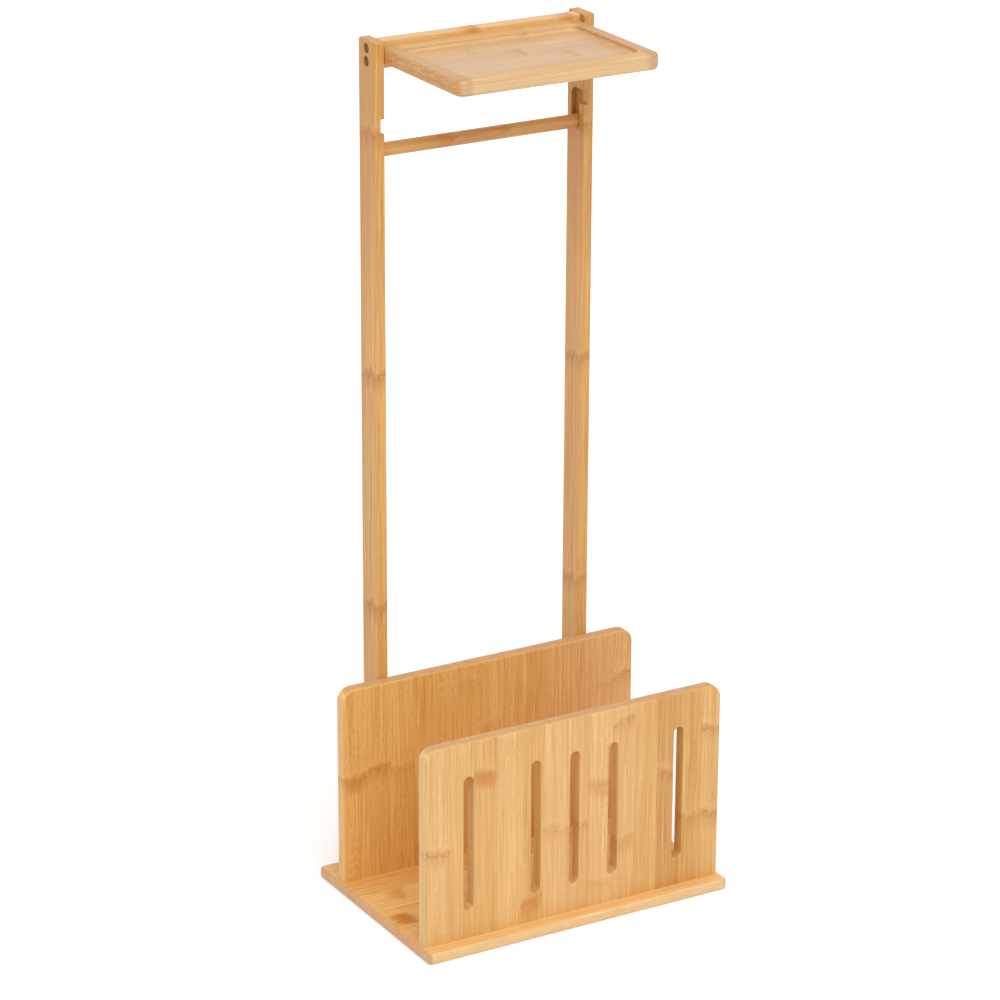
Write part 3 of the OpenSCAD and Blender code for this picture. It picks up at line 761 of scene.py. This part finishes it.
def rowTree(name, fill):  # a tree that sets copies of one piece out along a line, in one material
    tree = bpy.data.node_groups.new(name, "GeometryNodeTree")
    face = tree.interface
    addInputs(face, {"First": "Vector", "Last": "Vector", "Count": "Int", "Turn": "Rotation",
                     "Finish": "Material"})
    face.new_socket("Geometry", in_out="OUTPUT", socket_type="NodeSocketGeometry")
    g = Maker(tree)
    given = g.node("NodeGroupInput")
    line = g.node("GeometryNodeMeshLine", {"mode": "END_POINTS"}, {
        "Count": g.wire(given, "Count"), "Start Location": g.wire(given, "First"),
        "Offset": g.wire(given, "Last")})
    copies = g.node("GeometryNodeInstanceOnPoints", None, {
        "Points": g.wire(line), "Instance": fill(g, face, given), "Rotation": g.wire(given, "Turn")})
    real = g.node("GeometryNodeRealizeInstances", None, {0: g.wire(copies)})
    finish = g.node("GeometryNodeSetMaterial", None,
                    {"Geometry": g.wire(real), "Material": g.wire(given, "Finish")})
    g.node("NodeGroupOutput", None, {0: g.wire(finish)})
    return tree


screw = screwBlank()
fasteners = {
    "screw": {"tree": rowTree("screw_row", fillScrew), "inputs": {"Screw": screw, "Finish": screwSteel()},
              "radius": screwSizes["headRadius"], "suffix": "_threaded", "slot": "screw_steel"},
    "dowel": {"tree": rowTree("dowel_row", fillDowel), "inputs": {**dowelSizes, "Finish": beechWood()},
              "radius": dowelSizes["Radius"], "suffix": "_fluted", "slot": "dowel_wood"},
}


def fastenerRow(name, tree, values):  # the tree's result as a plain mesh
    holder = addObject(name + "_row", bpy.data.meshes.new(name + "_row"))
    rows = holder.modifiers.new("row", "NODES")
    rows.node_group = tree
    for item in tree.interface.items_tree:
        if item.in_out == "INPUT":
            rows[item.identifier] = values[item.name]
    bpy.context.view_layer.update()
    mesh = bpy.data.meshes.new_from_object(
        holder.evaluated_get(bpy.context.evaluated_depsgraph_get()))
    holder.modifiers.remove(rows)
    bpy.data.objects.remove(holder)
    return mesh


# The ways that pieces point: their turn, and the axis and end of the row's box that they start from
quarterTurn = math.radians(90)
ways = {
    "up": {"turn": (0.0, 0.0, 0.0), "axis": "z", "end": 0},
    "forward": {"turn": (quarterTurn, 0.0, 0.0), "axis": "y", "end": 1},
    "right": {"turn": (0.0, quarterTurn, 0.0), "axis": "x", "end": 0},
    "left": {"turn": (0.0, -quarterTurn, 0.0), "axis": "x", "end": 1},
}
# Each row: kind, how many, the way its pieces point, and the axis that they are set out along
fastenerRows = {
    "front_panel_screws": ("screw", 3, "up", "x"),
    "back_panel_screws": ("screw", 3, "up", "x"),
    "post_foot_screws": ("screw", 2, "up", "x"),
    "left_post_screws": ("screw", 2, "forward", "z"),
    "right_post_screws": ("screw", 2, "forward", "z"),
    "left_rail_screws": ("screw", 2, "right", "z"),
    "right_rail_screws": ("screw", 2, "left", "z"),
    "tray_screws": ("screw", 3, "forward", "x"),
    "front_panel_dowels": ("dowel", 2, "up", "x"),
    "back_panel_dowels": ("dowel", 2, "up", "x"),
    "tray_dowels": ("dowel", 2, "forward", "x"),
}
for nodeName, (kind, count, pointing, axis) in fastenerRows.items():
    fastener, way = fasteners[kind], ways[pointing]
    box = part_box(nodeName)
    low, high = box
    first = (low + high) / 2
    setattr(first, way["axis"], getattr(box[way["end"]], way["axis"]))
    last = first.copy()
    setattr(first, axis, getattr(low, axis) + fastener["radius"])
    setattr(last, axis, getattr(high, axis) - fastener["radius"])
    mesh = fastenerRow(nodeName, fastener["tree"], {
        "First": tuple(first), "Last": tuple(last), "Count": count, "Turn": way["turn"],
        **fastener["inputs"]})
    for face in mesh.polygons:
        face.use_smooth = True
    piece = addObject(nodeName + fastener["suffix"], mesh)
    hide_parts(nodeName)
    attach(piece, "frame")
bpy.data.objects.remove(screw)
print("screws and dowels set")

# Studio: a pale floor that keeps the shadow, soft lamps, and white where the camera looks past it
studio = {
    "floorSize": 12.0, "floorColour": (0.90, 0.90, 0.90, 1.0),
    "floorLift": (0.24, 0.60), "liftEdge": (0.4, 2.5),   # glow near the stand and far from it
    "airColour": (1.0, 1.0, 1.0, 1.0), "airLight": 0.62,
    "aim": (0.0, 0.0, 0.35),
    "lamps": {
        "soft_key": {"place": (-0.9, -3.0, 2.7), "size": 2.2, "power": 40.0},
        "soft_fill": {"place": (-3.2, -1.0, 1.6), "size": 2.4, "power": 11.0},
        "soft_top": {"place": (-0.3, -1.2, 5.0), "size": 3.2, "power": 60.0},
        "soft_back": {"place": (-1.9, 3.0, 1.7), "size": 2.6, "power": 11.0},
    },
}


def seenDirectly(m):  # 1 where the camera sees it, or a mirror or glass shows it to the camera
    rays = m.node("ShaderNodeLightPath")
    seen = m.wire(rays, "Is Camera Ray") + m.wire(rays, "Is Glossy Ray") + m.wire(rays, "Is Transmission Ray")
    return seen.atMost(1.0)


def paleFloor():
    half = studio["floorSize"] / 2
    data = bpy.data.meshes.new("studio_floor")
    data.from_pydata([(-half, -half, 0), (half, -half, 0), (half, half, 0), (-half, half, 0)], [],
                     [(0, 1, 2, 3)])
    material, m = emptyMaterial("studio_floor_paint")
    matt = m.node("ShaderNodeBsdfDiffuse", None, {"Color": studio["floorColour"]})
    away = m.wire(m.node("ShaderNodeVectorMath", {"operation": "LENGTH"}, {0: m.objectPlace()}), "Value")
    near, far = studio["floorLift"]
    glow = near + away.rise(*studio["liftEdge"]) * (far - near)
    lift = m.node("ShaderNodeEmission", None, {"Strength": seenDirectly(m) * glow})
    m.coverWith(m.node("ShaderNodeAddShader", None, {0: m.wire(matt), 1: m.wire(lift)}))
    data.materials.append(material)
    addObject("studio_floor", data)


def paleWorld():
    world = bpy.data.worlds.new("studio_air")
    bpy.context.scene.world = world
    world.use_nodes = True
    world.node_tree.nodes.clear()
    m = Maker(world.node_tree)
    strength = studio["airLight"] + seenDirectly(m) * (1.0 - studio["airLight"])
    air = m.node("ShaderNodeBackground", None, {"Color": studio["airColour"], "Strength": strength})
    m.node("ShaderNodeOutputWorld", None, {"Surface": m.wire(air)})


def softLamp(name, place, size, power):
    lamp = bpy.data.lights.new(name, "AREA")
    lamp.shape = "DISK"
    lamp.size = size
    lamp.energy = power
    holder = addObject(name, lamp)
    holder.location = place
    aim = Vector(studio["aim"]) - Vector(place)
    holder.rotation_euler = aim.to_track_quat("-Z", "Y").to_euler()


paleFloor()
paleWorld()
for lampName, lampLook in studio["lamps"].items():
    softLamp(lampName, **lampLook)
print("studio lit")

# Camera: seen from the front left and above, with a long lens
view = {
    "target": (-0.0187, 0.0109, 0.3606), "heading": 30.27, "elevation": 20.60,
    "distance": 3.406, "roll": 0.288, "lens": 144.0, "sensor": 36.0, "sight": 50.0,
}


def lookThrough():
    camera = bpy.data.cameras.new("camera")
    camera.lens = view["lens"]
    camera.sensor_width = view["sensor"]
    camera.clip_end = view["sight"]
    heading, elevation = math.radians(view["heading"]), math.radians(view["elevation"])
    ahead = Vector((math.sin(heading) * math.cos(elevation), math.cos(heading) * math.cos(elevation),
                    -math.sin(elevation)))
    turn = ahead.to_track_quat("-Z", "Y").to_matrix().to_4x4()
    place = Matrix.Translation(Vector(view["target"]) - ahead * view["distance"])
    holder = addObject("camera", camera)
    holder.matrix_world = place @ turn @ Matrix.Rotation(math.radians(view["roll"]), 4, "Z")
    bpy.context.scene.camera = holder


lookThrough()
bpy.context.scene.view_settings.view_transform = "Standard"
print("camera set")
